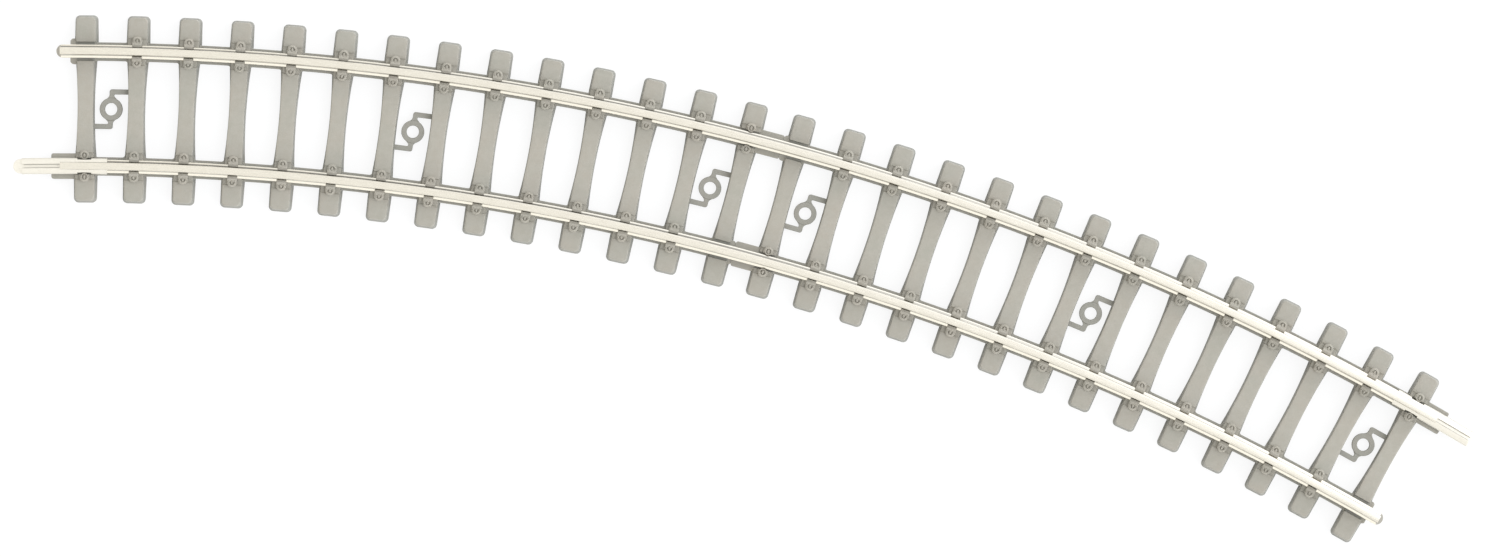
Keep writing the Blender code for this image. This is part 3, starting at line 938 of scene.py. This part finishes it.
def joiner_painted_shade(tree, along, across, up):
    """Painted shadow along the edges of the slot between the flanges, on the joiner's floor."""
    distance = arithmetic(tree, "ABSOLUTE", across, 0.0)
    edge = SLOT_HALF - JOINER_SHADOW_WIDTH
    share = eased_range(tree, distance, edge, SLOT_HALF, 1.0, JOINER_SHADOW)
    above = arithmetic(tree, "GREATER_THAN", up, RAIL_BASE - JOINER_GAP / 2)
    from_middle = arithmetic(tree, "ABSOLUTE", along, 0.0)
    beyond = arithmetic(tree, "GREATER_THAN", from_middle, FLANGE_ALONG)
    return arithmetic(tree, "MAXIMUM", share, arithmetic(tree, "MAXIMUM", above, beyond))


def floor_material():
    """Pale matt floor that takes soft shadows and looks almost evenly white to the camera."""
    made, tree, shader = new_material("floor")
    place = node(tree, "TexCoord").outputs["Object"]
    tone = mixed(tree, noise(tree, place, 3.0), (0.90, 0.90, 0.90), (0.92, 0.92, 0.92))
    tree.links.new(tone, shader.inputs["Base Color"])
    shader.inputs["Roughness"].default_value = 0.9
    shader.inputs["Specular IOR Level"].default_value = 0.0
    glow = node(tree, "Emission")
    blend = node(tree, "MixShader")
    seen = node(tree, "LightPath").outputs["Is Camera Ray"]
    tree.links.new(arithmetic(tree, "MULTIPLY", seen, FLOOR_GLOW), blend.inputs[0])
    tree.links.new(shader.outputs[0], blend.inputs[1])
    tree.links.new(glow.outputs[0], blend.inputs[2])
    tree.links.new(blend.outputs[0], tree.nodes["Material Output"].inputs["Surface"])
    return made


# Placing the pieces

SHARP_ANGLE = math.radians(32)


def piece(name, mesh, turn, offset, material, body, node_name, slot):
    """A finished piece from a mesh about the centre-line's middle, turned about the arc's centre.

    offset is the distance of the piece's own middle outwards from the centre-line.
    """
    mesh = mesh.copy()
    mesh.name = name
    to_arc = Matrix.Translation(ARC_CENTRE) @ Matrix.Rotation(turn, 4, "Z")
    mesh.transform(Matrix.Scale(MM, 4) @ to_arc @ Matrix.Translation((0, TRACK_RADIUS, 0)))
    points = np.array([v.co for v in mesh.vertices]) / MM - np.array(ARC_CENTRE)
    along = TRACK_RADIUS * np.arctan2(points[:, 0], points[:, 1])
    across = np.hypot(points[:, 0], points[:, 1]) - TRACK_RADIUS - offset
    attribute = mesh.attributes.new("along_across_up", "FLOAT_VECTOR", "POINT")
    values = np.stack((along, across, points[:, 2]), 1).astype(np.float32)
    attribute.data.foreach_set("vector", values.ravel())
    mesh.materials.clear()
    mesh.materials.append(material)
    mesh.shade_smooth()
    mesh.set_sharp_from_angle(angle=SHARP_ANGLE)
    obj = bpy.data.objects.new(name, mesh)
    bpy.context.scene.collection.objects.link(obj)
    weighted = obj.modifiers.new("even_shading", "WEIGHTED_NORMAL")
    weighted.keep_sharp = True
    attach(obj, body)
    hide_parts(node_name)


def build_pieces():
    """Makes the six pieces, each on its own body in place of its CAD node."""
    plastic = plastic_material()
    rail_metal = metal_material(
        "rail_metal_look", (0.73, 0.69, 0.595), (0.775, 0.735, 0.64), (0.16, 0.28), 0.5,
        rail_painted_light_and_shade,
    )
    joiner_metal = metal_material(
        "joiner_metal_look", (0.775, 0.74, 0.65), (0.82, 0.785, 0.695), (0.26, 0.38), 1.2,
        joiner_painted_shade,
    )
    strip = strip_mesh()
    for side, turn in (("left", STRIP_ANGLE / 2), ("right", -STRIP_ANGLE / 2)):
        piece(
            side + "_sleeper_moulding", strip, turn, 0.0, plastic,
            side + "_strip", "sleeper_strip_" + side, "sleeper_plastic",
        )
    for side, offset, free_side in (("outer", RAIL_OFFSET, -1), ("inner", -RAIL_OFFSET, 1)):
        name = side + "_running_rail"
        mesh = mesh_of(rail(name, offset, free_side))
        piece(name, mesh, 0.0, offset, rail_metal, side + "_rail", side + "_rail", "rail_metal")
    for side, offset, end in (("left", -RAIL_OFFSET, -1), ("right", RAIL_OFFSET, 1)):
        name = side + "_folded_joiner"
        mesh = mesh_of(joiner(name, offset, end))
        piece(
            name, mesh, 0.0, offset, joiner_metal,
            side + "_joiner", "rail_joiner_" + side, "joiner_metal",
        )


# Floor, light and camera

CAMERA_HEIGHT = 1.25
CAMERA_OVER = (-1.075, -5.735)
CAMERA_TURN = math.radians(15.0)
VIEW_WIDTH = 0.23355  # width of the view at the height VIEW_LEVEL
VIEW_LEVEL = 0.0022
SENSOR = 36.0
FLOOR_SIZE = 15.0
FLOOR_GLOW = 0.85  # share of even white in the floor, seen by the camera only

# The sky's light is 1 straight above. "Right" is the view's right-hand side. The ranges are of
# the direction's part towards the right, or of its part upwards where the gain is for low light.
RIGHT_GAIN = 1.5
RIGHT_RANGE = (-0.015, 0.13)
LEFT_GAIN = 0.75
LEFT_RANGE = (-0.7, 0.1)
LOW_GAIN = 1.55
LOW_RANGE = (0.35, 0.9)

# The same as the metal reflects it
LOW_SHEEN_GAIN = 0.6
LOW_SHEEN_RANGE = (0.3, 0.8)
LEFT_SHEEN_GAIN = 1.18
LEFT_SHEEN_RANGE = (-0.095, -0.035)

WARM_WHITE = (1.0, 0.998, 0.985)
COOL_WHITE = (1.0, 1.025, 1.085)
LAMP_DIRECTION = (0.85, 0.22, 1.0)
LAMP_STRENGTH = 0.6
LAMP_SPREAD = math.radians(60)


def build_sky():
    """Soft studio light that is warmer above and brighter and cooler from the view's right."""
    world = bpy.data.worlds.new("studio")
    bpy.context.scene.world = world
    world.use_nodes = True
    tree = world.node_tree
    background = tree.nodes["Background"]
    direction = node(tree, "TexCoord").outputs["Generated"]
    up = split(tree, direction)[2]
    dot = node(tree, "VectorMath", operation="DOT_PRODUCT")
    tree.links.new(direction, dot.inputs[0])
    dot.inputs[1].default_value = (math.cos(CAMERA_TURN), math.sin(CAMERA_TURN), 0.0)
    to_right = dot.outputs["Value"]
    right_gain = eased_range(tree, to_right, *RIGHT_RANGE, 1.0, RIGHT_GAIN)
    left_gain = eased_range(tree, to_right, *LEFT_RANGE, LEFT_GAIN, 1.0)
    low_gain = eased_range(tree, up, *LOW_RANGE, LOW_GAIN, 1.0)
    soft_gain = arithmetic(tree, "MULTIPLY", low_gain, left_gain)
    low_sheen_gain = eased_range(tree, up, *LOW_SHEEN_RANGE, LOW_SHEEN_GAIN, 1.0)
    left_sheen_gain = eased_range(tree, to_right, *LEFT_SHEEN_RANGE, LEFT_SHEEN_GAIN, 1.0)
    sheen_gain = arithmetic(tree, "MULTIPLY", low_sheen_gain, left_sheen_gain)
    is_glossy = node(tree, "LightPath").outputs["Is Glossy Ray"]
    gain = chosen(tree, is_glossy, soft_gain, sheen_gain)
    strength = arithmetic(tree, "MULTIPLY", right_gain, gain)
    tree.links.new(strength, background.inputs["Strength"])
    coolness = mapped(tree, right_gain, 0.0, 1.0, 1.0, RIGHT_GAIN)
    tree.links.new(mixed(tree, coolness, WARM_WHITE, COOL_WHITE), background.inputs["Color"])


def build_stage():
    """Floor, sky and one large soft lamp."""
    bm = bmesh.new()
    bmesh.ops.create_grid(bm, x_segments=4, y_segments=4, size=FLOOR_SIZE)
    floor = add_object("floor", bm)
    floor.data.materials.append(floor_material())

    build_sky()
    lamp = bpy.data.lights.new("softbox", "SUN")
    lamp.energy = LAMP_STRENGTH
    lamp.angle = LAMP_SPREAD
    lamp.color = (1.0, 0.995, 0.98)
    light = bpy.data.objects.new("softbox", lamp)
    light.rotation_euler = Vector(LAMP_DIRECTION).to_track_quat("Z", "Y").to_euler()
    bpy.context.scene.collection.objects.link(light)


def build_camera():
    """Camera straight above, turned as in the photo."""
    data = bpy.data.cameras.new("camera")
    camera = bpy.data.objects.new("camera", data)
    bpy.context.scene.collection.objects.link(camera)
    camera.location = (CAMERA_OVER[0] * MM, CAMERA_OVER[1] * MM, CAMERA_HEIGHT)
    camera.rotation_euler = (0.0, 0.0, CAMERA_TURN)
    data.sensor_width = SENSOR
    data.lens = SENSOR * (CAMERA_HEIGHT - VIEW_LEVEL) / VIEW_WIDTH
    data.clip_start, data.clip_end = 0.01, 50.0
    bpy.context.scene.camera = camera
    bpy.context.scene.view_settings.view_transform = "Standard"


build_pieces()
build_stage()
build_camera()
